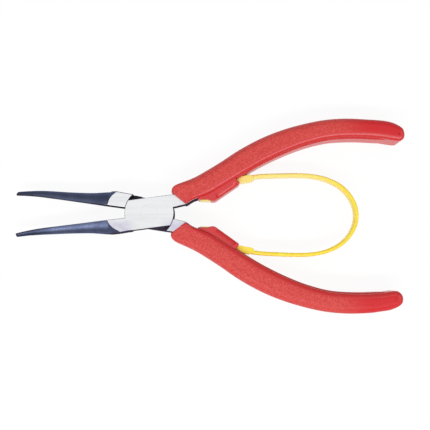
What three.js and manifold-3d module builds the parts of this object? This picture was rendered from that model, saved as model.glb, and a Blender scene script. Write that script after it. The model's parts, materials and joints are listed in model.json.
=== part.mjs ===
// Small flat nose pliers for jewellery work: two forged halves on a lap joint, a flush rivet,
// a moulded grip on each handle and a one-piece leaf spring that pushes the handles apart.
//
// Millimetres. +X runs from the jaws to the handles, +Y to the upper handle, +Z up.
// Each half is drawn closed, with the pivot on the origin and the mid-plane at z = 0, and is
// then turned open. The back half is the front half turned over about X. The finished part
// lies on its grips, and its origin is under the middle of its box.

import * as THREE from "three";
import { mergeVertices } from "three/addons/utils/BufferGeometryUtils.js";
import Module from "manifold-3d";

// Opening
const REST_ANGLE = 8.1; // degrees that each half stands open while the spring is relaxed

// Lap joint
const JOINT_THICKNESS = 8;
const PLATE_RADIUS = 9.2;
const PLATE_HALF_WIDTH = 5.72; // the round plate is cut flat this far from the pivot
const LAP_GAP = 0.1;
const SWING_CLEARANCE = 0.25; // round the other half's plate

// Rivet, flared into a countersink at both faces
const RIVET_RADIUS = 2.4;
const RIVET_FLARE = 0.7;
const RIVET_CLEARANCE = 0.08;
const RIVET_SUNK = 0.02; // its ends lie this far below the faces

// Jaws: half round outside, flat inside, touching at the tips first
const JAW_LENGTH = 51.1;
const JAW_DEPTH = 5.95; // deepest, at the shoulder
const JAW_SHOULDER = 15; // from the pivot to the shoulder
const JAW_DEPTH_RATIO = 1.46; // depth from the gripping face, over half the thickness
const TIP_RELIEF = 0.06;
const ROOT_RELIEF = 0.66;
const TIP_SWEEP = 0.8; // both tips drift this far to the lower side
const SWEEP_START = 39; // from the pivot
const TIP_SLANT = 0.3; // the tip's end face leans back this far over its depth

// Handles
const TANG_WIDTH = 4.4;
const TANG_THICKNESS = 5;
const TANG_CLEARANCE = 0.2;

// Grips
const GRIP_THICKNESS = 12;
const GRIP_EDGE = 1.2; // rounding of the grip's long edges
const RIB_HEIGHT = 0.5; // stands proud of the grip's inner edge
const RIB_THICKNESS = 7.4;
const RIB_EDGE = 0.4;

// Spring, and the loop on each grip that holds one of its ends
const LEAF_THICKNESS = 1.5;
const LEAF_WIDTH = 5;
const LEAF_CLEARANCE = 0.3;
const LOOP_CORNER = new THREE.Vector2(24.9, 1.2); // its lowest corner on the closed handle
const LOOP_ANGLE = 27; // its slope there, in degrees
const LOOP_LENGTH = 11.5;
const LOOP_WALL = 0.9;

const ROUND_STEPS = 48;
const EDGE_STEPS = 2;

const HALF = JOINT_THICKNESS / 2;
const wasm = await Module();
wasm.setup();

// ---------------------------------------------------------------- solids

function solidOf(geometry) {
  const bare = geometry.index ? geometry.toNonIndexed() : geometry.clone();
  bare.deleteAttribute("normal");
  bare.deleteAttribute("uv");
  const merged = mergeVertices(bare, 1e-4);
  const vertProperties = new Float32Array(merged.attributes.position.array);
  const triVerts = new Uint32Array(merged.index.array);
  const solid = new wasm.Manifold(new wasm.Mesh({ numProp: 3, vertProperties, triVerts }));
  if (solid.volume() > 0) return solid;
  triVerts.reverse();
  return new wasm.Manifold(new wasm.Mesh({ numProp: 3, vertProperties, triVerts }));
}

function meshOf(solid, name, material) {
  const { numProp, vertProperties, triVerts } = solid.getMesh();
  const buffer = new THREE.InterleavedBuffer(vertProperties, numProp);
  const shared = new THREE.BufferGeometry();
  shared.setAttribute("position", new THREE.InterleavedBufferAttribute(buffer, 3, 0));
  shared.setIndex(new THREE.BufferAttribute(triVerts, 1));
  const geometry = shared.toNonIndexed();
  geometry.computeVertexNormals();
  const mesh = new THREE.Mesh(geometry, material);
  mesh.name = name;
  return mesh;
}

// A prism on a shape between two heights, its edges rounded by edge. The shape is its
// outermost outline.
function prism(shape, low, high, edge = 0, curveSegments = 6) {
  const geometry = new THREE.ExtrudeGeometry(shape, {
    depth: high - low - 2 * edge,
    curveSegments,
    bevelEnabled: edge > 0,
    bevelSize: edge,
    bevelThickness: edge,
    bevelOffset: -edge,
    bevelSegments: EDGE_STEPS,
  });
  geometry.translate(0, 0, low + edge);
  return solidOf(geometry);
}

function box(xLow, xHigh, yLow, yHigh, zLow, zHigh) {
  const geometry = new THREE.BoxGeometry(xHigh - xLow, yHigh - yLow, zHigh - zLow);
  geometry.translate((xLow + xHigh) / 2, (yLow + yHigh) / 2, (zLow + zHigh) / 2);
  return solidOf(geometry);
}

// A solid turned about the pivot, from pairs of radius and height that start and end on it.
function turned(pairs) {
  const geometry = new THREE.LatheGeometry(vectors(pairs), ROUND_STEPS);
  geometry.rotateX(Math.PI / 2);
  return solidOf(geometry);
}

function disc(radius, low, high) {
  return turned([[0, low], [radius, low], [radius, high], [0, high]]);
}

function vectors(pairs) {
  return pairs.map(([x, y]) => new THREE.Vector2(x, y));
}

// The outline of a band along a curve, reaching so far to its left and to its right.
function band(curve, toLeft, toRight, steps) {
  const left = [];
  const right = [];
  for (let i = 0; i <= steps; i += 1) {
    const point = curve.getPointAt(i / steps);
    const along = curve.getTangentAt(i / steps);
    const across = new THREE.Vector2(-along.y, along.x);
    left.unshift(point.clone().addScaledVector(across, toLeft));
    right.push(point.clone().addScaledVector(across, -toRight));
  }
  return new THREE.Shape([...right, ...left]);
}

// ---------------------------------------------------------------- forged half

// Half the jaw's thickness from the tip to the joint: slim, with a shoulder at the root.
const JAW_PROFILE = new THREE.SplineCurve(
  vectors([
    [-JAW_LENGTH, 0.98],
    [-46, 1.38],
    [-38.5, 1.94],
    [-31, 2.4],
    [-23.5, 3],
    [-19.6, 3.5],
    [-17.4, 3.8],
    [-15.8, 4.1],
    [-14.2, 4.75],
    [-12.5, 5.3],
    [-10.5, 5.65],
    [-4, 5.8],
  ]),
);

// Moves every point of a solid sideways by an amount that depends on its x.
function sheared(solid, sideways) {
  const { numProp, vertProperties, triVerts } = solid.getMesh();
  for (let i = 0; i < vertProperties.length; i += numProp) {
    vertProperties[i + 1] += sideways(vertProperties[i]);
  }
  return new wasm.Manifold(new wasm.Mesh({ numProp, vertProperties, triVerts }));
}

// The lower jaw of a closed half. sweep is positive where the tip drifts outwards.
function jaw(sweep) {
  const along = JAW_PROFILE.getSpacedPoints(24);
  const profile = along.map((point) => new THREE.Vector2(point.y, point.x));
  profile.unshift(new THREE.Vector2(0, along[0].x));
  profile.push(new THREE.Vector2(0, along[along.length - 1].x));
  const round = new THREE.LatheGeometry(profile, 36);
  round.rotateZ(-Math.PI / 2);
  round.scale(1, JAW_DEPTH_RATIO, 1);
  const sideView = new THREE.Shape(
    vectors([
      [-JAW_LENGTH, -TIP_RELIEF],
      [TIP_SLANT - JAW_LENGTH, -2],
      [TIP_SLANT - JAW_LENGTH, -JAW_DEPTH],
      [-JAW_SHOULDER, -JAW_DEPTH],
      [-PLATE_RADIUS, -PLATE_HALF_WIDTH],
      [0, -PLATE_HALF_WIDTH],
      [0, -ROOT_RELIEF],
      [-PLATE_RADIUS, -ROOT_RELIEF],
    ]),
  );
  const straight = solidOf(round).intersect(prism(sideView, -HALF, HALF));
  return sheared(straight, (x) => {
    const share = Math.max(0, -x - SWEEP_START) / (JAW_LENGTH - SWEEP_START);
    return -sweep * share ** 2;
  });
}

// The handle's root, from the plate into the grip. Its inner edge is bare steel.
const ROOT_OUTLINE = vectors([
  [0, PLATE_HALF_WIDTH],
  [10, PLATE_HALF_WIDTH],
  [16.5, 8],
  [21, 10],
  [22, 6],
  [19.1, 3],
  [18.3, 2.85],
  [17.3, 2.6],
  [16.4, 2.25],
  [15.6, 1.85],
  [14.9, 1.45],
  [14.2, 1.2],
  [13.4, 1.15],
  [9.1, 0.88],
  [0, 0],
]);

const TANG_CURVE = new THREE.SplineCurve(
  vectors([
    [18, 6.2],
    [28.8, 11.1],
    [44.8, 17.9],
    [61.5, 21.9],
    [75, 22.5],
    [88, 20.1],
  ]),
);

// The handle's core inside the grip, or the pocket for it when extra is given.
function tang(extra) {
  const radius = TANG_WIDTH / 2 + extra;
  const half = TANG_THICKNESS / 2 + extra;
  const end = new THREE.CylinderGeometry(radius, radius, 2 * half, 16);
  end.rotateX(Math.PI / 2);
  const last = TANG_CURVE.getPoint(1);
  end.translate(last.x, last.y, 0);
  return prism(band(TANG_CURVE, radius, radius, 20), -half, half).add(solidOf(end));
}

// The rivet's profile, or its bore's when extra is given: a shank flared at 45 degrees.
function rivetProfile(extra) {
  const face = HALF - RIVET_SUNK;
  const shank = RIVET_RADIUS + extra;
  const rim = RIVET_RADIUS + RIVET_FLARE + 2 * extra;
  return [
    [0, -face - extra],
    [rim, -face - extra],
    [shank, RIVET_FLARE - face],
    [shank, face - RIVET_FLARE],
    [rim, face + extra],
    [0, face + extra],
  ];
}

// The front half: lower jaw, front plate and upper handle.
function forgedHalf(sweep) {
  const root = prism(new THREE.Shape(ROOT_OUTLINE), -HALF, HALF);
  const square = box(-PLATE_RADIUS, PLATE_RADIUS, -PLATE_HALF_WIDTH, PLATE_HALF_WIDTH, -HALF, HALF);
  const plate = disc(PLATE_RADIUS, -HALF, HALF).intersect(square);
  const lapCut = disc(PLATE_RADIUS + SWING_CLEARANCE, -HALF - 1, LAP_GAP / 2);
  const bore = turned(rivetProfile(RIVET_CLEARANCE));
  return jaw(sweep).add(plate).add(root).subtract(lapCut).add(tang(0)).subtract(bore);
}

// ---------------------------------------------------------------- grip

const GRIP_OUTER = vectors([
  [9.1, 6.1],
  [9.5, 7.6],
  [10.6, 8.7],
  [12.6, 9.4],
  [16.8, 10.6],
  [20.8, 12],
  [28.8, 15.5],
  [36.3, 19.15],
  [44.8, 22.4],
  [53, 24.55],
  [61.5, 25.85],
  [70, 26.4],
  [78, 25.9],
  [86, 24.5],
]);
const UPPER_BUTT = vectors([
  [92, 23.2],
  [95.3, 22.15],
  [97, 21.1],
  [98.35, 19.7],
  [99.15, 18.2],
  [99.35, 16.9],
  [98.9, 15.7],
  [97.9, 14.9],
  [96.2, 14.7],
  [94.2, 15.2],
]);
const LOWER_BUTT = vectors([
  [90.6, 23.2],
  [93.5, 22.3],
  [95.4, 21.3],
  [96.7, 20.1],
  [97.5, 18.4],
  [97.6, 17],
  [97.1, 15.8],
  [96.1, 15],
  [94.6, 14.8],
  [92.8, 15.4],
]);
const GRIP_INNER = vectors([
  [88, 16.8],
  [79.5, 18.25],
  [70.7, 18.9],
  [61.9, 18],
  [53.6, 16.1],
  [45.1, 13.4],
  [37.7, 10.4],
  [31.3, 7.6],
  [27.3, 5.85],
  [23.4, 4.2],
  [20, 3.3],
  [18.3, 3],
  [16.8, 2.65],
  [15.7, 2.2],
  [14.9, 1.8],
]);
const GRIP_NOSE = new THREE.Vector2(13.9, 1.6); // where the outline starts and ends

function gripBody(butt) {
  const shape = new THREE.Shape();
  shape.moveTo(GRIP_NOSE.x, GRIP_NOSE.y);
  shape.lineTo(GRIP_OUTER[0].x, GRIP_OUTER[0].y);
  shape.splineThru([...GRIP_OUTER.slice(1), ...butt, ...GRIP_INNER]);
  return prism(shape, -GRIP_THICKNESS / 2, GRIP_THICKNESS / 2, GRIP_EDGE, 1.6);
}

// A slimmer rib along the inner edge, from the spring's loop to the butt.
function gripRib() {
  const beyondLoop = GRIP_INNER.slice(0, 7).reverse();
  const curve = new THREE.SplineCurve([new THREE.Vector2(34.2, 8.8), ...beyondLoop]);
  const outline = band(curve, GRIP_EDGE + RIB_HEIGHT, RIB_HEIGHT, 20);
  return prism(outline, -RIB_THICKNESS / 2, RIB_THICKNESS / 2, RIB_EDGE);
}

// A point beside the loop on the closed handle: along its slope, and across it towards the grip.
function byLoop(along, across) {
  const slope = THREE.MathUtils.degToRad(LOOP_ANGLE);
  const offset = new THREE.Vector2(along, across).rotateAround(new THREE.Vector2(), slope);
  return offset.add(LOOP_CORNER);
}

// The loop on the grip's inner edge that the spring's end is pushed through. Its cheeks run
// on beside the spring's tail.
function gripLoop() {
  const cheeks = vectors([
    [20.5, 4.6],
    [19.6, 3.4],
    [19.6, 2.45],
    [22.3, 2.2],
  ]);
  const shape = new THREE.Shape([
    byLoop(0, 0),
    byLoop(LOOP_LENGTH, 0),
    byLoop(LOOP_LENGTH, 4.5),
    ...cheeks,
    byLoop(-1.2, 0.9),
  ]);
  return prism(shape, -RIB_THICKNESS / 2, RIB_THICKNESS / 2, RIB_EDGE);
}

// The slot for the spring, opening out round its bent tail.
function loopSlot() {
  const far = LOOP_WALL + LEAF_THICKNESS + 2 * LEAF_CLEARANCE;
  const half = LEAF_WIDTH / 2 + LEAF_CLEARANCE;
  const shape = new THREE.Shape([
    byLoop(-5.2, LOOP_WALL),
    byLoop(LOOP_LENGTH + 4.5, LOOP_WALL),
    byLoop(LOOP_LENGTH + 4.5, far),
    byLoop(-1, far),
    byLoop(-5.2, far + 1.2),
  ]);
  return prism(shape, -half, half);
}

// The handle's root is let into the grip with a little room all round.
function rootPocket() {
  const room = TANG_CLEARANCE;
  const shape = new THREE.Shape(ROOT_OUTLINE.map((p) => new THREE.Vector2(p.x + room, p.y)));
  const raised = new THREE.Shape(ROOT_OUTLINE.map((p) => new THREE.Vector2(p.x, p.y + room)));
  return prism(shape, -HALF - room, HALF + room).add(prism(raised, -HALF - room, HALF + room));
}

function grip(butt) {
  const solid = gripBody(butt).add(gripRib()).add(gripLoop());
  return solid.subtract(rootPocket()).subtract(tang(TANG_CLEARANCE)).subtract(loopSlot());
}

// ---------------------------------------------------------------- return spring

// The upper half of the bow, with the pliers open at rest.
const BOW = [
  [37.6, 14.0],
  [42, 14.6],
  [47.7, 14.85],
  [55.9, 15.05],
  [61.9, 14.65],
  [67.1, 13.4],
  [71.8, 11],
  [75.1, 7.75],
  [77.15, 3.95],
];
const BOW_TIP = [77.85, 0];

function mirrored(points) {
  return points.map((point) => new THREE.Vector2(point.x, -point.y));
}

// One end of the spring: a tapered tail through the loop, then a block that stops against it.
function springEnd() {
  const near = LOOP_WALL + LEAF_CLEARANCE;
  const far = near + LEAF_THICKNESS;
  const closed = [
    byLoop(-4.2, 3.15),
    byLoop(-1.4, near + 0.1),
    byLoop(LOOP_LENGTH + 0.4, near),
    byLoop(LOOP_LENGTH + 0.5, 0.9),
    byLoop(16.7, -1.6),
    byLoop(17.6, -1.2),
    byLoop(16.9, 0.5),
    byLoop(15.2, 1.3),
    byLoop(LOOP_LENGTH + 0.6, far - 0.3),
    byLoop(0.6, far),
    byLoop(-2, 2.85),
    byLoop(-4.3, 3.5),
  ];
  const open = THREE.MathUtils.degToRad(REST_ANGLE);
  return closed.map((point) => point.rotateAround(new THREE.Vector2(), open));
}

function spring() {
  const upper = vectors(BOW);
  const bow = new THREE.SplineCurve([...upper, ...vectors([BOW_TIP]), ...mirrored(upper).reverse()]);
  const half = LEAF_WIDTH / 2;
  const leaf = prism(band(bow, LEAF_THICKNESS / 2, LEAF_THICKNESS / 2, 56), -half, half);
  const end = springEnd();
  const other = mirrored(end);
  const ends = [end, other].map((points) => prism(new THREE.Shape(points), -half, half));
  return leaf.add(ends[0]).add(ends[1]);
}

// ---------------------------------------------------------------- assembly

function material(color, roughness, metalness) {
  return new THREE.MeshStandardMaterial({ color, roughness, metalness });
}

const steel = () => material(0xdde1e6, 0.3, 1);
const vinyl = () => material(0xd6413d, 0.6, 0);
const rivet = turned(rivetProfile(0));

const upperSide = new THREE.Group();
upperSide.rotation.z = THREE.MathUtils.degToRad(REST_ANGLE);
upperSide.add(meshOf(forgedHalf(TIP_SWEEP), "front_half", steel()));
upperSide.add(meshOf(grip(UPPER_BUTT), "upper_grip", vinyl()));
upperSide.add(meshOf(rivet, "pivot_rivet", steel()));

const turnedOver = new THREE.Group();
turnedOver.rotation.x = Math.PI;
turnedOver.add(meshOf(forgedHalf(-TIP_SWEEP), "back_half", steel()));
turnedOver.add(meshOf(grip(LOWER_BUTT), "lower_grip", vinyl()));
const lowerSide = new THREE.Group();
lowerSide.rotation.z = -THREE.MathUtils.degToRad(REST_ANGLE);
lowerSide.add(turnedOver);

const pliers = new THREE.Group();
pliers.add(upperSide, lowerSide);
pliers.add(meshOf(spring(), "return_spring", material(0xf7d63c, 0.4, 0)));

// The origin goes under the middle of the box.
pliers.updateMatrixWorld(true);
const bounds = new THREE.Box3().setFromObject(pliers, true);
const middle = bounds.getCenter(new THREE.Vector3());
pliers.position.set(-middle.x, -middle.y, -bounds.min.z);

export default pliers;
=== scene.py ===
import json
import math

import bpy
import numpy as np
from mathutils import Matrix, Vector


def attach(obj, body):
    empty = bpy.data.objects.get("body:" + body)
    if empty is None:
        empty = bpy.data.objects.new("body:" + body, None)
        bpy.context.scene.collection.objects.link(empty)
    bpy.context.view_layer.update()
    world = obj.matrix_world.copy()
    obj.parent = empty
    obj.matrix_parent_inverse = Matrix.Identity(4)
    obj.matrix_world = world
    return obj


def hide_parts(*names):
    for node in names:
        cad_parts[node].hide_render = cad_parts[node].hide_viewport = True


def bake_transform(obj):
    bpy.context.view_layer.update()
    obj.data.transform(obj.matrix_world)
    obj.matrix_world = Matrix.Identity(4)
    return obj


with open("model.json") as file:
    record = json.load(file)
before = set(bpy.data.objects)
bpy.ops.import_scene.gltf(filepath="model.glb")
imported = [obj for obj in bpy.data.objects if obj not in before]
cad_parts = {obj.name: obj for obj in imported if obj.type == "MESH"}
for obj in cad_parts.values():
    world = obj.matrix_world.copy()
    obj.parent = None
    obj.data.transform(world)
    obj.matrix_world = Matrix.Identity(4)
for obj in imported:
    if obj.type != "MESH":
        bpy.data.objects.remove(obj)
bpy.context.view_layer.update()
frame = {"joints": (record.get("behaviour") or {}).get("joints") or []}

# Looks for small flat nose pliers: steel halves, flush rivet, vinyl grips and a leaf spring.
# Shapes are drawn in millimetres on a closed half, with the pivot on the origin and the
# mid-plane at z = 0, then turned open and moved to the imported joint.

MM = 0.001
PIVOT = Vector(frame["joints"][0]["pos_m"])
REST_ANGLE = math.radians(8.1)  # each half stands open this far at rest

# Steel
JOINT_THICKNESS = 8.0
HALF = JOINT_THICKNESS / 2
PLATE_RADIUS = 9.2
PLATE_HALF_WIDTH = 5.72
PLATE_EDGE = 0.14  # rounding of the plates' and roots' edges
LAP_GAP = 0.1
SWING_CLEARANCE = 0.14
RIVET_RADIUS = 2.4
RIVET_FLARE = 0.7
RIVET_SUNK = 0.02
RIVET_FIT = 0.012  # between the rivet and its bore
JAW_LENGTH = 51.1
JAW_DEPTH_RATIO = 1.46  # depth from the gripping face, over half the thickness
JAW_EDGE = 0.24
TIP_RELIEF = 0.06  # room at the tips and at the root with the jaws shut
ROOT_RELIEF = 0.66
TIP_SWEEP = 0.8  # both tips drift this far to the lower side
SWEEP_START = 39.0
TIP_SLANT = 0.3
# The dark at the tips is painted shade.
SHADED_TIP_LENGTH = 0.75  # the tip is dark this far in
GRIPPING_EDGE = 0.38  # the darker line along the edge of the gripping face
INNER_CORNER = 0.25  # the bright corner beside it at the jaw's root
BACK_EXTRA = 0.27  # the back half is this much wider outside its shoulder
TANG_WIDTH = 4.4
TANG_THICKNESS = 5.0
TANG_EDGE = 0.5

# Grips
GRIP_THICKNESS = 12.0
GRIP_HALF = GRIP_THICKNESS / 2
GRIP_FIT = 0.03  # between the vinyl and the steel inside it
INNER_EDGE_ACROSS = 2.7  # rounding of the long edges, in plan and in height
INNER_EDGE_DOWN = 1.4
OUTER_EDGE_ACROSS = 2.7
OUTER_EDGE_DOWN = 3.3
BUTT_EDGE = 1.0
NOSE_EDGE = 0.5
ROW_CROWDING = 0.7  # the mesh's rows lie closer together at the nose and the butt
RIB_HALF = 3.7
RIB_HEIGHT = 0.5
RIB_DEPTH = 2.2  # sunk into the grip
RIB_EDGE = 0.22
LOOP_HALF = 4.4
LOOP_DEPTH = 4.5  # from its free side into the grip
LOOP_CORNER_ROUND = 0.7
LOOP_EDGE = 0.4
LOOP_EDGE_DOWN = 1.3
LOOP_FREE_EDGE = 2.8  # the rounding of the loop's free side is this much broader
SMOOTH_BAND = 1.6  # the inner edge is free of grain this far into the grip

# Spring and its loops
LEAF_THICKNESS = 1.5
LEAF_WIDTH = 5.0
LEAF_EDGE = 0.7
BLOCK_CORNER = 0.3
BLOCK_EDGE = 0.12
LEAF_INSET = 0.04  # the bow is this much narrower than its blocks, on each side
LEAF_CLEARANCE = 0.12
LOOP_CORNER = (24.9, 1.2)  # its lowest corner on the closed handle
LOOP_ANGLE = math.radians(27)
LOOP_LENGTH = 11.5
LOOP_WALL = 0.9
SLOT_TAIL = 5.2  # the slot for the leaf runs on this far past the loop's corner
SLOT_RUN_OUT = 4.5  # and this far past its other end


# ---------------------------------------------------------------- curves and outlines

def spline(points, per_segment):
    """Points along a Catmull-Rom curve through the given ones."""
    p = np.array(points, float)
    last = len(p) - 1
    made = []
    for i in range(last):
        a, b, c, d = p[max(i - 1, 0)], p[i], p[i + 1], p[min(i + 2, last)]
        for k in range(per_segment):
            t = k / per_segment
            v0, v1 = (c - a) / 2, (d - b) / 2
            made.append((2 * b - 2 * c + v0 + v1) * t**3
                        + (-3 * b + 3 * c - 2 * v0 - v1) * t**2 + v0 * t + b)
    made.append(p[last])
    return np.array(made)


def at_shares(points, shares):
    """The points at these shares of a polyline's length."""
    steps = np.linalg.norm(np.diff(points, axis=0), axis=1)
    along = np.concatenate([[0], np.cumsum(steps)]) / steps.sum()
    return np.stack([np.interp(shares, along, points[:, k]) for k in range(points.shape[1])], 1)


def ease(low, high, x):
    """0 below low, 1 above high and smooth in between."""
    t = np.clip((x - low) / (high - low), 0, 1)
    return t * t * (3 - 2 * t)


def outward(loop):
    """Mitred outward directions of an anticlockwise outline."""
    edge = np.roll(loop, -1, 0) - loop
    edge /= np.linalg.norm(edge, axis=1)[:, None]
    normal = np.stack([edge[:, 1], -edge[:, 0]], 1)
    both = normal + np.roll(normal, 1, 0)
    both /= np.maximum((both**2).sum(1), 0.8)[:, None] / 2
    return both


def anticlockwise(loop):
    x, y = loop[:, 0], loop[:, 1]
    area = (x * np.roll(y, -1) - y * np.roll(x, -1)).sum()
    return loop if area > 0 else loop[::-1]


def rounded(corners, radius, steps=5):
    """A polygon with each corner rounded off."""
    p = np.array(corners, float)
    made = []
    for i, corner in enumerate(p):
        before, after = p[i - 1] - corner, p[(i + 1) % len(p)] - corner
        lengths = np.linalg.norm(before), np.linalg.norm(after)
        reach = min(radius, 0.45 * min(lengths))
        start, end = corner + before * reach / lengths[0], corner + after * reach / lengths[1]
        for k in range(steps + 1):
            t = k / steps
            made.append((1 - t) ** 2 * start + 2 * t * (1 - t) * corner + t**2 * end)
    return np.array(made)


def band(path, left, right):
    """The outline of a band along a path. left and right are widths at each of its points."""
    along = np.gradient(path, axis=0)
    along /= np.linalg.norm(along, axis=1)[:, None]
    across = np.stack([-along[:, 1], along[:, 0]], 1)
    one = path + across * np.reshape(left, (-1, 1))
    other = path - across * np.reshape(right, (-1, 1))
    return np.concatenate([other, one[::-1]])


# ---------------------------------------------------------------- solids, as meshes in mm

def mesh_of(points, faces):
    mesh = bpy.data.meshes.new("solid")
    mesh.from_pydata([tuple(p) for p in points], [], faces)
    mesh.validate()
    mesh.update()
    return mesh


def ring_faces(rings, count):
    """Quads between successive rings of count points each."""
    faces = []
    for r in range(rings - 1):
        for i in range(count):
            j = (i + 1) % count
            faces.append((r * count + i, r * count + j, (r + 1) * count + j, (r + 1) * count + i))
    return faces


def prism(outline, low, high, across=0.0, down=None, steps=5):
    """A prism whose edges are rounded, by across in plan and down in height."""
    loop = anticlockwise(np.array(outline, float))
    down = across if down is None else down
    out = outward(loop)
    levels = []
    if np.max(across) > 0:
        for k in range(steps + 1):
            turn = math.pi / 2 * k / steps
            levels.append((1 - math.sin(turn), low + down * (1 - math.cos(turn))))
        levels += [(inset, low + high - z) for inset, z in reversed(levels)]
    else:
        levels = [(0, low), (0, high)]
    points = []
    for inset, z in levels:
        flat = loop - out * across * inset
        points += [(x, y, z) for x, y in flat]
    count = len(loop)
    faces = ring_faces(len(levels), count)
    faces.append(tuple(range(count))[::-1])
    faces.append(tuple(range(count * (len(levels) - 1), count * len(levels))))
    return mesh_of(points, faces)


def swept(path, half_thickness, half_height, edge):
    """A bar with rounded edges along a level path."""
    section = rounded([(-half_thickness, -half_height), (half_thickness, -half_height),
                       (half_thickness, half_height), (-half_thickness, half_height)], edge, 4)
    along = np.gradient(path, axis=0)
    along /= np.linalg.norm(along, axis=1)[:, None]
    points = []
    for (x, y), (dx, dy) in zip(path, along):
        points += [(x + dy * a, y - dx * a, z) for a, z in section]
    count = len(section)
    faces = ring_faces(len(path), count)
    faces = [face[::-1] for face in faces]
    faces.append(tuple(range(count)))
    faces.append(tuple(range(count * (len(path) - 1), count * len(path)))[::-1])
    return mesh_of(points, faces)


def turned(pairs, steps=96):
    """A solid turned about Z, from pairs of radius and height that start and end on it."""
    points = [(0, 0, pairs[0][1])]
    for radius, z in pairs[1:-1]:
        for i in range(steps):
            a = 2 * math.pi * i / steps
            points.append((radius * math.cos(a), radius * math.sin(a), z))
    points.append((0, 0, pairs[-1][1]))
    end = len(points) - 1
    rings = len(pairs) - 2
    faces = [tuple(1 + v for v in face) for face in ring_faces(rings, steps)]
    faces += [(0, 1 + (i + 1) % steps, 1 + i) for i in range(steps)]
    top = 1 + (rings - 1) * steps
    faces += [(end, top + i, top + (i + 1) % steps) for i in range(steps)]
    return mesh_of(points, faces)


def disc(radius, low, high):
    return turned([(0, low), (radius, low), (radius, high), (0, high)])


def combined(base, tool, operation):
    """base after a boolean with tool."""
    made = [bpy.data.objects.new("solid", mesh) for mesh in (base, tool)]
    for holder in made:
        bpy.context.scene.collection.objects.link(holder)
    change = made[0].modifiers.new("change", "BOOLEAN")
    change.operation = operation
    change.solver = "MANIFOLD"
    change.object = made[1]
    graph = bpy.context.evaluated_depsgraph_get()
    result = bpy.data.meshes.new_from_object(made[0].evaluated_get(graph))
    result.materials.clear()
    for holder in made:
        bpy.data.objects.remove(holder)
    return result


def join(base, *tools):
    for tool in tools:
        base = combined(base, tool, "UNION")
    return base


def cut(base, *tools):
    for tool in tools:
        base = combined(base, tool, "DIFFERENCE")
    return base


def shared(base, *tools):
    for tool in tools:
        base = combined(base, tool, "INTERSECT")
    return base


# ---------------------------------------------------------------- steel halves

# Half the jaw's thickness from the tip to the shoulder, and each half's own shoulder.
JAW_PROFILE = [
    (-JAW_LENGTH, 0.72), (-50.7, 0.96), (-50.2, 1.03), (-48, 1.2), (-46, 1.36), (-44, 1.54),
    (-38.5, 1.94), (-31, 2.4), (-23.5, 3.0), (-19.6, 3.5), (-17.6, 3.8),
]
FRONT_SHOULDER = [
    (-15.9, 4.02), (-15, 4.37), (-13.8, 4.83), (-12.4, 5.25), (-10.7, 5.64), (-4, 5.9),
]
BACK_SHOULDER = [
    (-15.9, 4.03), (-15.6, 4.34), (-14.95, 4.84), (-14, 5.31), (-12.6, 5.7), (-4, 6),
]
# The handle's root, from the plate into the grip.
ROOT_OUTER = [
    (0, PLATE_HALF_WIDTH), (10, PLATE_HALF_WIDTH), (16.5, 8), (21, 10), (22, 6), (19.1, 3.05),
]
FRONT_ROOT = ROOT_OUTER + [
    (18.3, 2.95), (17.3, 2.75), (16.5, 2.5), (15.8, 2.2), (15.1, 1.85), (14.6, 1.55), (14.1, 1.38),
    (13.4, 1.3), (9.1, 0.88), (0, 0),
]
BACK_ROOT = ROOT_OUTER + [
    (18.3, 2.9), (17.3, 2.65), (16.4, 2.35), (15.6, 2.0), (15, 1.65), (14.3, 1.35), (13.6, 1.15),
    (9.1, 0.88), (0, 0),
]
FRONT_ROOT_RELIEF = [(8.6, -2), (14.1, -2), (14.1, 1.1), (13.5, 1.6), (8.6, 1.1)]
TANG_POINTS = [(18, 6.2), (28.8, 11.1), (44.8, 17.9), (61.5, 21.9), (75, 22.5), (88, 20.1)]
TANG_PATH = spline(TANG_POINTS, 8)
RIVET_RIM = RIVET_RADIUS + RIVET_FLARE


def drift(x, sweep):
    """How far the jaw has drifted sideways at x. sweep is its drift at the tip."""
    share = max(0.0, -x - SWEEP_START) / (JAW_LENGTH - SWEEP_START)
    return sweep * share**2


def jaw(sweep, shoulder, extra):
    """The lower jaw of a closed half: half round outside, flat inside, its tip swept sideways."""
    profile = spline(JAW_PROFILE + shoulder, 7)
    around = 128
    points = [(profile[0, 0], 0, 0)]
    for x, half in profile:
        for i in range(around):
            a = 2 * math.pi * i / around
            points.append((x, JAW_DEPTH_RATIO * half * math.sin(a), half * math.cos(a)))
    points.append((profile[-1, 0], 0, 0))
    end = len(points) - 1
    rings = len(profile)
    faces = [tuple(1 + v for v in face)[::-1] for face in ring_faces(rings, around)]
    faces += [(0, 1 + i, 1 + (i + 1) % around) for i in range(around)]
    top = 1 + (rings - 1) * around
    faces += [(end, top + (i + 1) % around, top + i) for i in range(around)]
    outside = -PLATE_HALF_WIDTH - extra
    side_view = [
        (-JAW_LENGTH, -TIP_RELIEF), (-JAW_LENGTH + 0.25 * TIP_SLANT, -0.9),
        (-JAW_LENGTH + TIP_SLANT, -1.6), (-JAW_LENGTH + TIP_SLANT, -5.4), (-18, -5.45),
        (-17, -5.7), (-16, -5.86 - extra / 2), (-15, -5.92 - extra / 2), (-13, -5.88 - extra),
        (-PLATE_RADIUS, outside), (-6, outside), (0, -PLATE_HALF_WIDTH),
        (0, -ROOT_RELIEF), (-PLATE_RADIUS, -ROOT_RELIEF),
    ]
    solid = shared(mesh_of(points, faces), prism(side_view, -HALF, HALF, JAW_EDGE, steps=3))
    for vertex in solid.vertices:
        vertex.co.y -= drift(vertex.co.x, sweep)
    return solid


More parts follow.
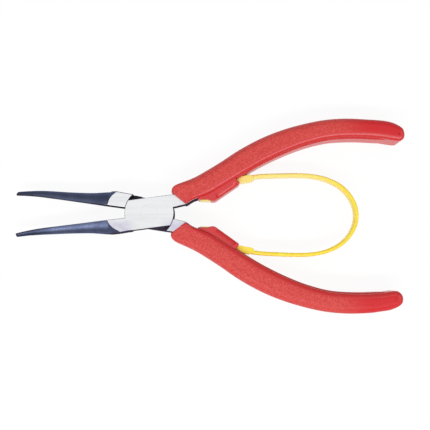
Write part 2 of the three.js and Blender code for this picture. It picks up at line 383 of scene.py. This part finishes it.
def tang(extra):
    """The handle's core inside the grip, or the room for it when extra is given."""
    radius = TANG_WIDTH / 2 + extra
    half = TANG_THICKNESS / 2 + extra
    end = TANG_PATH[-1]
    before = TANG_PATH[-2]
    heading = math.atan2(end[1] - before[1], end[0] - before[0])
    cap = [end + radius * np.array([math.cos(heading + a), math.sin(heading + a)])
           for a in np.linspace(-math.pi / 2, math.pi / 2, 13)[1:-1]]
    sides = band(TANG_PATH, np.full(len(TANG_PATH), radius), np.full(len(TANG_PATH), radius))
    count = len(TANG_PATH)
    outline = np.concatenate([sides[:count], cap, sides[count:]])
    return prism(outline, -half, half, TANG_EDGE)


def rivet_profile():
    """A shank flared at 45 degrees to a rim at each face."""
    face = HALF - RIVET_SUNK
    flare = face - RIVET_FLARE
    return [(0, -face), (RIVET_RIM, -face), (RIVET_RADIUS, -flare),
            (RIVET_RADIUS, flare), (RIVET_RIM, face), (0, face)]


def plate_outline():
    """The round plate, cut flat along its two long sides."""
    reach = math.sqrt(PLATE_RADIUS**2 - PLATE_HALF_WIDTH**2)
    spread = math.atan2(PLATE_HALF_WIDTH, reach)
    arc = np.linspace(-spread, spread, 33)
    right = [(PLATE_RADIUS * math.cos(a), PLATE_RADIUS * math.sin(a)) for a in arc]
    left = [(-x, -y) for x, y in right]
    return np.array(right + left)


def forged_half(sweep, shoulder, extra, root_outline, relief_outline):
    """One half before it is turned: lower jaw, plate, and upper handle with its core.

    extra widens it outside its shoulder, and the relief takes a step out behind the root.
    """
    plate = prism(plate_outline(), -HALF, HALF, PLATE_EDGE, steps=3)
    root = prism(root_outline, -HALF, HALF, PLATE_EDGE, steps=3)
    body = join(plate, jaw(sweep, shoulder, extra), root)
    lap = disc(PLATE_RADIUS + SWING_CLEARANCE, -HALF - 1, LAP_GAP / 2)
    body = cut(body, lap)
    if relief_outline:
        body = cut(body, prism(relief_outline, -HALF - 1, LAP_GAP / 2))
    body = join(body, tang(0))
    face = HALF - RIVET_SUNK
    flare = face - RIVET_FLARE
    beyond = HALF + 1
    rim = RIVET_RIM + RIVET_FIT
    shank = RIVET_RADIUS + RIVET_FIT
    bore = turned([(0, -beyond), (rim, -beyond), (rim, -face), (shank, -flare),
                   (shank, flare), (rim, face), (rim, beyond), (0, beyond)])
    return cut(body, bore)


def steel_faces(mesh, sweep):
    """Flat outer faces are ground bright (0), the jaws oxidised (1) and cut faces darker (2); the
    tips also take 2, as painted shade.
    """
    for polygon in mesh.polygons:
        x, y, z = polygon.center
        edge = y + drift(x, sweep) > -GRIPPING_EDGE
        gripping = x < 0 and (polygon.normal.y > 0.9 or edge)
        outer_side = y < -5.5 and polygon.normal.y < -0.6
        # Painted shade: the faces at the very tip take the dark finish.
        tip = x < SHADED_TIP_LENGTH - JAW_LENGTH
        near_plate = x > -PLATE_RADIUS - 0.5
        flat = abs(abs(z) - HALF) < 0.012 and abs(polygon.normal.z) > 0.99
        by_gripping_face = x < 0 and polygon.normal.y > 0.1
        inner_corner = abs(z) > HALF - INNER_CORNER and abs(polygon.normal.z) > 0.2
        if flat or (by_gripping_face and inner_corner):
            polygon.material_index = 0
        elif gripping or tip or outer_side or near_plate:
            polygon.material_index = 2
        else:
            polygon.material_index = 1


# ---------------------------------------------------------------- grips

# The grip's outline on the closed upper handle: its outer edge from the nose, each grip's own
# butt, and its inner edge back to the nose.
GRIP_OUTER = [
    (9.3, 6.45), (9.6, 7.7), (10.6, 8.7), (12.6, 9.4), (16.8, 10.6), (20.8, 12), (28.8, 15.5),
    (36.3, 19.15), (44.8, 22.4), (53, 24.55), (61.5, 25.85), (70, 26.4), (78, 25.9), (86, 24.5),
]
UPPER_BUTT = [(91.4, 23.4), (94.3, 22.5), (96.3, 21.5), (97.75, 20.15), (98.55, 18.5),
              (98.7, 16.9), (98.4, 15.6), (97.7, 14.8), (96.5, 14.5), (94, 15.1)]
LOWER_BUTT = [(90.6, 23.2), (93.5, 22.3), (95.4, 21.3), (96.7, 20.1), (97.4, 18.8), (97.5, 17.5),
              (97.1, 16.3), (96.2, 15.35), (94.8, 14.85), (92.6, 15.4)]
GRIP_INNER = [
    (88, 16.8), (79.5, 18.25), (70.7, 18.9), (61.9, 18), (53.6, 16.1), (45.1, 13.4), (37.7, 10.4),
    (31.3, 7.6), (27.3, 5.85), (23.4, 4.2), (20, 3.3), (18.3, 3), (16.8, 2.65), (15.7, 2.2),
    (14.9, 1.8),
]
NOSE_INNER = (13.9, 1.6)
GRIP_ROWS = 150
GRIP_COLUMNS = 8


def grip_sides(butt):
    """The outer and inner edges from nose to butt, with as many points on each."""
    whole = spline(GRIP_OUTER + butt + GRIP_INNER, 12)
    tip = int(np.argmax(whole[:, 0]))
    even = np.linspace(0, 1, GRIP_ROWS + 1)
    shares = even - ROW_CROWDING * np.sin(2 * math.pi * even) / (2 * math.pi)
    outer = at_shares(whole[: tip + 1], shares)
    inner = np.concatenate([whole[tip:], [NOSE_INNER]])[::-1]
    return outer[:-1], at_shares(inner, shares)[:-1]


def grip_body(butt_outline):
    """A slab with its own rounding on each edge: wide outside, narrow inside."""
    outer, inner = grip_sides(butt_outline)
    rows = len(outer)
    across = np.linspace(0, 1, GRIP_COLUMNS + 1)[1:-1]
    nose = [outer[0] + (inner[0] - outer[0]) * t for t in across]
    butt = [inner[-1] + (outer[-1] - inner[-1]) * t for t in across]
    # Anticlockwise: along the inner edge, round the butt, back along the outer edge, the nose.
    loop = np.concatenate([inner, butt, outer[::-1], nose])
    share = np.linspace(0, 1, rows)
    # Both roundings run out towards the nose and the butt.
    from_nose = outer[:, 0] - outer[0, 0]
    swell = ease(1.5, 9, from_nose) * (1 - ease(0.87, 0.97, share))
    wide_across = BUTT_EDGE + (OUTER_EDGE_ACROSS - BUTT_EDGE) * swell
    wide_down = BUTT_EDGE + (OUTER_EDGE_DOWN - BUTT_EDGE) * swell
    narrowing = ease(0.86, 0.95, share)
    inner_across = INNER_EDGE_ACROSS + (BUTT_EDGE - INNER_EDGE_ACROSS) * narrowing
    inner_down = INNER_EDGE_DOWN + (BUTT_EDGE - INNER_EDGE_DOWN) * narrowing
    inner_across = NOSE_EDGE + (inner_across - NOSE_EDGE) * ease(0.02, 0.3, share)
    inner_down = NOSE_EDGE + (inner_down - NOSE_EDGE) * ease(0, 0.1, share)
    at_butt, at_nose = np.full(len(butt), BUTT_EDGE), np.full(len(nose), NOSE_EDGE)
    inset = np.concatenate([inner_across, at_butt, wide_across[::-1], at_nose])
    drop = np.concatenate([inner_down, at_butt, wide_down[::-1], at_nose])
    out = outward(loop)
    steps = 8
    count = len(loop)
    points = []
    for side in (-1, 1):
        turns = np.linspace(0, math.pi / 2, steps + 1)
        for turn in (turns[::-1] if side < 0 else turns):
            flat = loop - out * (inset * (1 - math.cos(turn)))[:, None]
            z = side * (GRIP_HALF - drop * (1 - math.sin(turn)))
            points += [(p[0], p[1], h) for p, h in zip(flat, z)]
    rings = 2 * (steps + 1)
    faces = ring_faces(rings, count)
    # The broad faces are grids between the paired points of the inner and outer edges.
    for ring, flip in ((0, True), (rings - 1, False)):
        start = ring * count
        edge = np.array(points[start:start + count])
        ids = np.zeros((rows, GRIP_COLUMNS + 1), int)
        for i in range(rows):
            ids[i, 0] = start + i
            ids[i, GRIP_COLUMNS] = start + rows + len(butt) + (rows - 1 - i)
        ids[rows - 1, 1:-1] = start + rows + np.arange(len(butt))
        ids[0, 1:-1] = start + count - 1 - np.arange(len(nose))
        for i in range(1, rows - 1):
            a, b = edge[ids[i, 0] - start], edge[ids[i, -1] - start]
            for k, t in enumerate(across):
                ids[i, k + 1] = len(points)
                points.append(tuple(a + (b - a) * t))
        for i in range(rows - 1):
            for k in range(GRIP_COLUMNS):
                quad = (ids[i, k], ids[i + 1, k], ids[i + 1, k + 1], ids[i, k + 1])
                faces.append(tuple(int(v) for v in (quad[::-1] if flip else quad)))
    return mesh_of(points, faces)


def by_loop(along, across):
    """A point beside the spring's loop: along its slope, and across it towards the grip."""
    c, s = math.cos(LOOP_ANGLE), math.sin(LOOP_ANGLE)
    return (LOOP_CORNER[0] + along * c - across * s, LOOP_CORNER[1] + along * s + across * c)


def grip_rib():
    """A slimmer rib along the inner edge that runs out before the butt."""
    start, end = (34.2, 8.8), (93, 15.3)
    inner = spline([start] + GRIP_INNER[:7][::-1] + [end], 10)
    share = np.linspace(0, 1, len(inner))
    proud = RIB_HEIGHT * (1 - ease(0.86, 0.99, share)) - 0.12 * ease(0.9, 1, share)
    outline = band(inner, np.full(len(inner), RIB_DEPTH), proud)
    return prism(outline, -RIB_HALF, RIB_HALF, RIB_EDGE, steps=3)


def grip_loop():
    """The loop for the spring, and the cheeks that run on beside its tail."""
    cheeks = [(20.5, 4.9), (18.9, 3.9), (18.6, 2.5), (22.3, 2.2), by_loop(-1.2, 0.9)]
    corners = [by_loop(0, 0), by_loop(LOOP_LENGTH, 0), by_loop(LOOP_LENGTH, LOOP_DEPTH)] + cheeks
    outline = rounded(corners, LOOP_CORNER_ROUND)
    # More points along the free side, between its two rounded corners, for its broader edge.
    clear = LOOP_CORNER_ROUND * 1.2
    side = np.linspace(0, LOOP_LENGTH, 24)
    middle = np.array([by_loop(u, 0) for u in side if clear < u < LOOP_LENGTH - clear])
    first = len(outline) // len(corners)
    outline = np.concatenate([outline[:first], middle, outline[first:]])
    share = np.linspace(0, 1, len(middle))
    broad = np.full((len(outline), 1), LOOP_EDGE)
    free_edge = LOOP_FREE_EDGE * ease(0, 0.1, share) * (1 - ease(0.9, 1, share))
    broad[first:first + len(middle), 0] += free_edge
    return prism(outline, -LOOP_HALF, LOOP_HALF, broad, LOOP_EDGE_DOWN, 7)


def loop_slot():
    """The slot for the leaf through the loop, opening out round its bent tail."""
    far = LOOP_WALL + LEAF_THICKNESS + 2 * LEAF_CLEARANCE
    half = LEAF_WIDTH / 2 + LEAF_CLEARANCE
    end = LOOP_LENGTH + SLOT_RUN_OUT
    corners = [by_loop(-SLOT_TAIL, LOOP_WALL), by_loop(end, LOOP_WALL), by_loop(end, far),
               by_loop(-1, far), by_loop(-SLOT_TAIL, far + 1.2)]
    return prism(corners, -half, half)


def root_pocket(root_outline):
    """The room in the grip for the handle's root."""
    loop = anticlockwise(np.array(root_outline, float))
    return prism(loop + outward(loop) * GRIP_FIT, -HALF - GRIP_FIT, HALF + GRIP_FIT)


def grip(butt, root_outline):
    """The moulded sleeve, hollowed for the handle and slotted for the leaf."""
    solid = join(grip_body(butt), grip_rib(), grip_loop())
    return cut(solid, root_pocket(root_outline), tang(GRIP_FIT), loop_slot())


def grip_faces(mesh, butt):
    """The inner edge, the rib and the loop are moulded smooth. The rest is grained."""
    inner = grip_sides(butt)[1]
    centres = np.zeros(len(mesh.polygons) * 3)
    mesh.polygons.foreach_get("center", centres)
    centres = centres.reshape(-1, 3)[:, :2]
    a, b = inner[:-1], inner[1:]
    ab = b - a
    smooth = np.ones(len(centres), bool)
    for i, point in enumerate(centres):
        t = np.clip(((point - a) * ab).sum(1) / (ab**2).sum(1), 0, 1)
        gap = point - (a + ab * t[:, None])
        far = np.linalg.norm(gap, axis=1)
        k = int(np.argmin(far))
        inside = ab[k, 0] * gap[k, 1] - ab[k, 1] * gap[k, 0]
        smooth[i] = far[k] * (1 if inside > 0 else -1) < SMOOTH_BAND
    for polygon, is_smooth in zip(mesh.polygons, smooth):
        polygon.material_index = 1 if is_smooth else 0


# ---------------------------------------------------------------- return spring

# The upper half of the bow, with the pliers open at rest.
BOW = [(37.6, 14.0), (42, 14.6), (47.7, 14.85), (55.9, 15.05), (61.9, 14.65), (67.1, 13.4),
       (71.8, 11), (75.1, 7.75), (77.15, 3.95)]
BOW_TIP = (77.85, 0)


def spring_bow():
    """The bent leaf, open at rest, about the pivot."""
    upper = np.array(BOW)
    lower = upper[::-1] * (1, -1)
    path = spline(np.concatenate([upper, [BOW_TIP], lower]), 10)
    return swept(path, LEAF_THICKNESS / 2, LEAF_WIDTH / 2 - LEAF_INSET, LEAF_EDGE)


def spring_end():
    """On the closed half: a tapered tail through the loop, and a block that stops against it."""
    near = LOOP_WALL + LEAF_CLEARANCE
    far = near + LEAF_THICKNESS
    stop = LOOP_LENGTH + LEAF_CLEARANCE
    tail_and_block = [
        (-4.3, 3.2), (-1.4, near + 0.12), (stop, near), (stop, 0.45), (16.2, -1.75), (17.1, -1.5),
        (17.5, -0.7), (16.7, 0.95), (15.2, 1.6), (stop + 0.6, far), (0.6, far), (-2, far + 0.2),
        (-4.5, 3.75),
    ]
    outline = rounded([by_loop(*corner) for corner in tail_and_block], BLOCK_CORNER, 4)
    return prism(outline, -LEAF_WIDTH / 2, LEAF_WIDTH / 2, BLOCK_EDGE, steps=3)


# ---------------------------------------------------------------- materials

class Shader:
    """A material with one Principled shader, and short ways to feed it."""

    def __init__(self, name, **settings):
        self.material = bpy.data.materials.new(name)
        self.material.use_nodes = True
        self.tree = self.material.node_tree
        self.surface = self.tree.nodes["Principled BSDF"]
        for key, value in settings.items():
            self.surface.inputs[key.replace("_", " ")].default_value = value
        self.place = self.add("ShaderNodeTexCoord").outputs["Object"]

    def add(self, kind, links=None, **inputs):
        node = self.tree.nodes.new(kind)
        for key, value in inputs.items():
            node.inputs[key.replace("_", " ")].default_value = value
        for key, source in (links or {}).items():
            self.tree.links.new(source, node.inputs[key])
        return node

    def noise(self, scale, detail=3.0, roughness=0.55, stretch=None):
        place = self.place
        if stretch is not None:
            place = self.add("ShaderNodeMapping", {"Vector": place}, Scale=stretch).outputs[0]
        return self.add("ShaderNodeTexNoise", {"Vector": place}, Scale=scale, Detail=detail,
                        Roughness=roughness).outputs[0]

    def cells(self, scale):
        node = self.add("ShaderNodeTexVoronoi", {"Vector": self.place}, Scale=scale)
        return node.outputs["Distance"]

    def axis(self, name):
        return self.add("ShaderNodeSeparateXYZ", {"Vector": self.place}).outputs[name]

    def spread(self, value, low, high, to_low=0.0, to_high=1.0, smooth=True):
        node = self.add("ShaderNodeMapRange", {"Value": value}, From_Min=low, From_Max=high,
                        To_Min=to_low, To_Max=to_high)
        node.interpolation_type = "SMOOTHSTEP" if smooth else "LINEAR"
        return node.outputs[0]

    def maths(self, operation, a, b):
        node = self.add("ShaderNodeMath")
        node.operation = operation
        for socket, value in zip(node.inputs, (a, b)):
            if isinstance(value, (int, float)):
                socket.default_value = value
            else:
                self.tree.links.new(value, socket)
        return node.outputs[0]

    def mix(self, share, a, b):
        """Colour a where share is 0 and b where it is 1."""
        node = self.add("ShaderNodeMix")
        node.data_type = "RGBA"
        self.tree.links.new(share, node.inputs["Factor"])
        for socket, value in ((node.inputs[6], a), (node.inputs[7], b)):
            if isinstance(value, tuple):
                socket.default_value = (*value, 1)
            else:
                self.tree.links.new(value, socket)
        return node.outputs[2]

    def feed(self, socket, source):
        self.tree.links.new(source, self.surface.inputs[socket])

    def bump(self, height, strength, distance):
        node = self.add("ShaderNodeBump", {"Height": height}, Strength=strength, Distance=distance)
        self.feed("Normal", node.outputs[0])


def bright_steel():
    """Ground and polished faces: fine straight marks, and a painted cool reflection in clouds below
    the rivet.
    """
    s = Shader("bright_steel", Metallic=1.0)
    marks = s.noise(900, 2, 0.6, (0.06, 1.0, 0.3))
    clouds = s.spread(s.noise(240, 3, 0.55), 0.36, 0.66)
    # Painted reflection: a cool lavender tint on the lower side, round the rivet and stronger
    # towards the handles.
    lower_side = s.spread(s.axis("Y"), -0.001, -0.005)
    off_centre = s.maths("ABSOLUTE", s.maths("SUBTRACT", s.axis("X"), PIVOT.x), 0.0)
    reflection_patch = s.maths("MULTIPLY", lower_side, s.spread(off_centre, 0.003, 0.0085))
    handle_side = s.spread(s.axis("X"), PIVOT.x + 0.006, PIVOT.x + 0.010, 0.35, 0.7)
    painted_reflection = s.maths("MULTIPLY", reflection_patch, s.maths("ADD", s.maths("MULTIPLY", clouds, 0.5), handle_side))
    tint = s.mix(painted_reflection, (0.70, 0.705, 0.71), (0.49, 0.47, 0.58))
    s.feed("Base Color", s.mix(s.spread(marks, 0.5, 0.75, 0, 0.35), tint, (0.62, 0.62, 0.65)))
    s.feed("Roughness", s.spread(marks, 0.3, 0.7, 0.26, 0.36))
    s.bump(marks, 0.12, 0.00002)
    return s.material


def black_oxide(name, dark, light, metallic, specular):
    """Blue-black finish, a little uneven, with painted shade towards the tips. The jaws have a soft
    sheen and the cut walls none.
    """
    s = Shader(name, Metallic=metallic, Specular_IOR_Level=specular)
    s.surface.inputs["Specular Tint"].default_value = (0.40, 0.42, 0.55, 1)
    clouds = s.noise(160, 3, 0.55)
    fine = s.noise(1300, 2, 0.5)
    tone = s.mix(s.spread(clouds, 0.35, 0.7), dark, light)
    # Painted shade: darker towards the tips, the lower one most.
    to_tip = s.spread(s.axis("X"), -0.0585, -0.0665)
    to_lower = s.spread(s.axis("Y"), 0.004, -0.004, 0.15, 0.8)
    painted_tip_shade = tuple(0.45 * part for part in dark)
    s.feed("Base Color", s.mix(s.maths("MULTIPLY", to_tip, to_lower), tone, painted_tip_shade))
    s.feed("Roughness", s.spread(fine, 0.3, 0.7, 0.38, 0.46))
    s.bump(fine, 0.06, 0.00002)
    return s.material


def red_vinyl(name, grained):
    """Soft red vinyl, plainer and deeper in colour towards the butt. The grained colour carries
    painted glints, and its mottle is partly painted shade of the relief.
    """
    s = Shader(name, Specular_IOR_Level=0.45 if grained else 0.55)
    grain = s.noise(2200, 2, 0.6)
    pores = s.cells(1800)
    # Painted glints: sparse pale specks mixed into the grained colour.
    painted_glints = s.spread(s.noise(2400, 1, 0.5), 0.62, 0.78)
    butt = s.spread(s.axis("X"), 0.046, 0.060)
    if grained:
        # The grain's light and dark mottle in the colour is partly the vinyl's own tone and partly
        # painted shade and light of the grain's relief.
        tone = s.mix(s.spread(grain, 0.40, 0.62), (0.595, 0.033, 0.029), (0.725, 0.070, 0.058))
        tone = s.mix(s.maths("MULTIPLY", painted_glints, 0.4), tone, (0.78, 0.27, 0.24))
        tone = s.mix(butt, tone, (0.64, 0.009, 0.014))
        height = s.maths("ADD", grain, s.maths("MULTIPLY", pores, 0.6))
        height = s.maths("MULTIPLY", height, s.spread(butt, 0, 1, 1.0, 0.35))
        s.feed("Roughness", s.spread(grain, 0.3, 0.7, 0.62, 0.5))
        s.bump(height, 0.6, 0.00014)
    else:
        tone = s.mix(s.spread(grain, 0.35, 0.7), (0.61, 0.018, 0.021), (0.66, 0.026, 0.028))
        s.feed("Roughness", s.spread(grain, 0.3, 0.7, 0.30, 0.35))
        s.bump(grain, 0.06, 0.00003)
    s.feed("Base Color", tone)
    return s.material


def yellow_plastic():
    """Smooth and a little translucent, with a painted pale highlight on the upper side near the
    jaws.
    """
    s = Shader("yellow_plastic", Specular_IOR_Level=0.5, Subsurface_Weight=0.25,
               Subsurface_Scale=0.0015)
    s.surface.inputs["Subsurface Radius"].default_value = (1.0, 0.7, 0.2)
    clouds = s.noise(260, 2, 0.5)
    fine = s.noise(1800, 2, 0.5)
    tone = s.mix(s.spread(clouds, 0.35, 0.7), (0.97, 0.71, 0.035), (0.99, 0.77, 0.06))
    # Painted highlight: paler on the upper side near the jaws.
    upper_side = s.spread(s.axis("Y"), -0.002, 0.006)
    near_jaws = s.spread(s.axis("X"), 0.052, 0.034)
    painted_highlight = s.maths("MULTIPLY", s.maths("MULTIPLY", upper_side, near_jaws), 0.75)
    s.feed("Base Color", s.mix(painted_highlight, tone, (0.93, 0.77, 0.24)))
    s.feed("Roughness", s.spread(fine, 0.3, 0.7, 0.28, 0.34))
    s.bump(fine, 0.04, 0.00002)
    return s.material


def floor_material():
    s = Shader("studio_floor", Roughness=0.9, Specular_IOR_Level=0.0, Emission_Strength=0.91)
    s.surface.inputs["Emission Color"].default_value = (1, 1, 1, 1)
    s.feed("Base Color", s.mix(s.noise(6, 2, 0.5), (0.09, 0.09, 0.09), (0.11, 0.11, 0.11)))
    return s.material


# ---------------------------------------------------------------- pieces

def piece(name, mesh, turn, body, materials, sharp=32):
    """A finished object from a mesh in mm: smooth shaded, with flat faces kept flat."""
    mesh.name = name
    mesh.transform(Matrix.Translation(PIVOT) @ turn @ Matrix.Scale(MM, 4))
    for material in materials:
        mesh.materials.append(material)
    mesh.polygons.foreach_set("use_smooth", [True] * len(mesh.polygons))
    mesh.set_sharp_from_angle(angle=math.radians(sharp))
    made = bpy.data.objects.new(name, mesh)
    bpy.context.scene.collection.objects.link(made)
    weigh = made.modifiers.new("flat faces stay flat", "WEIGHTED_NORMAL")
    weigh.keep_sharp = True
    weigh.weight = 80
    if body:
        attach(made, body)
    return made


steel = [
    bright_steel(),
    black_oxide("blue_black_oxide", (0.084, 0.102, 0.178), (0.114, 0.134, 0.222), 1.0, 0.3),
    black_oxide("dark_oxide", (0.045, 0.034, 0.058), (0.066, 0.052, 0.082), 0.0, 0.0),
]
vinyl = [red_vinyl("grained_vinyl", True), red_vinyl("smooth_vinyl", False)]
front_turn = Matrix.Rotation(REST_ANGLE, 4, "Z")
back_turn = Matrix.Rotation(-REST_ANGLE, 4, "Z") @ Matrix.Rotation(math.pi, 4, "X")

for name, turn, body, sweep, shoulder, extra, root, relief in (
    ("front_half", front_turn, "front", TIP_SWEEP, FRONT_SHOULDER, 0, FRONT_ROOT,
     FRONT_ROOT_RELIEF),
    ("back_half", back_turn, "back", -TIP_SWEEP, BACK_SHOULDER, BACK_EXTRA, BACK_ROOT, None),
):
    mesh = forged_half(sweep, shoulder, extra, root, relief)
    steel_faces(mesh, sweep)
    made = piece(name + "_steel", mesh, turn, body, steel, 14)
    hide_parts(name)

for name, turn, body, butt, root in (
    ("upper_grip", front_turn, "front", UPPER_BUTT, FRONT_ROOT),
    ("lower_grip", back_turn, "back", LOWER_BUTT, BACK_ROOT),
):
    mesh = grip(butt, root)
    grip_faces(mesh, butt)
    made = piece(name + "_vinyl", mesh, turn, body, vinyl)
    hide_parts(name)

rivet = piece("pivot_rivet_pin", turned(rivet_profile()), front_turn, "front",
              [steel[0]], 20)
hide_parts("pivot_rivet")

plastic = [yellow_plastic()]
spring = piece("return_spring_bow", spring_bow(), Matrix.Identity(4), None,
               plastic)
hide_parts("return_spring")
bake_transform(spring)
for name, turn, body in (("upper", front_turn, "front"), ("lower", back_turn, "back")):
    made = piece(name + "_spring_end", spring_end(), turn, body, plastic)
    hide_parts("return_spring")


# ---------------------------------------------------------------- studio

def add_floor():
    """A wide floor just under the grips, so that the two never share a plane."""
    size, cells = 1.6, 8
    drop = 0.00005
    mesh = bpy.data.meshes.new("floor")
    points = [((i / cells - 0.5) * size, (j / cells - 0.5) * size, -drop)
              for i in range(cells + 1) for j in range(cells + 1)]
    row = cells + 1
    faces = [(i * row + j, (i + 1) * row + j, (i + 1) * row + j + 1, i * row + j + 1)
             for i in range(cells) for j in range(cells)]
    mesh.from_pydata(points, [], faces)
    mesh.materials.append(floor_material())
    floor = bpy.data.objects.new("floor", mesh)
    bpy.context.scene.collection.objects.link(floor)


def area_light(name, place, size, power):
    """A white panel that faces the origin."""
    light = bpy.data.lights.new(name, "AREA")
    light.shape = "RECTANGLE"
    light.size, light.size_y = size
    light.energy = power
    made = bpy.data.objects.new(name, light)
    made.location = place
    made.rotation_euler = (-Vector(place)).to_track_quat("-Z", "Y").to_euler()
    bpy.context.scene.collection.objects.link(made)


def add_camera():
    """Almost straight down from the side of the lower handle."""
    distance, elevation, azimuth = 0.2659, math.radians(85), math.radians(0.57)
    target = Vector((0.00194, -0.00023, 0.006))
    field = 0.1628  # width of the view at the target
    back = Vector((math.sin(azimuth) * math.cos(elevation),
                   -math.cos(azimuth) * math.cos(elevation), math.sin(elevation)))
    data = bpy.data.cameras.new("camera")
    data.sensor_width = 36
    data.lens = 36 * distance / field
    data.clip_start = 0.01
    camera = bpy.data.objects.new("camera", data)
    camera.location = target + back * distance
    camera.rotation_euler = (-back).to_track_quat("-Z", "Y").to_euler()
    bpy.context.scene.collection.objects.link(camera)
    bpy.context.scene.camera = camera


world = bpy.data.worlds.new("studio")
world.use_nodes = True
world.node_tree.nodes["Background"].inputs["Color"].default_value = (0.97, 0.98, 1.0, 1)
world.node_tree.nodes["Background"].inputs["Strength"].default_value = 0.40
bpy.context.scene.world = world
bpy.context.scene.view_settings.view_transform = "Standard"

add_floor()
area_light("overhead", (0.0, 0.10, 0.62), (0.7, 0.5), 0.95)
area_light("front_strip", (0.0, -0.36, 0.53), (0.9, 0.09), 2.8)
add_camera()
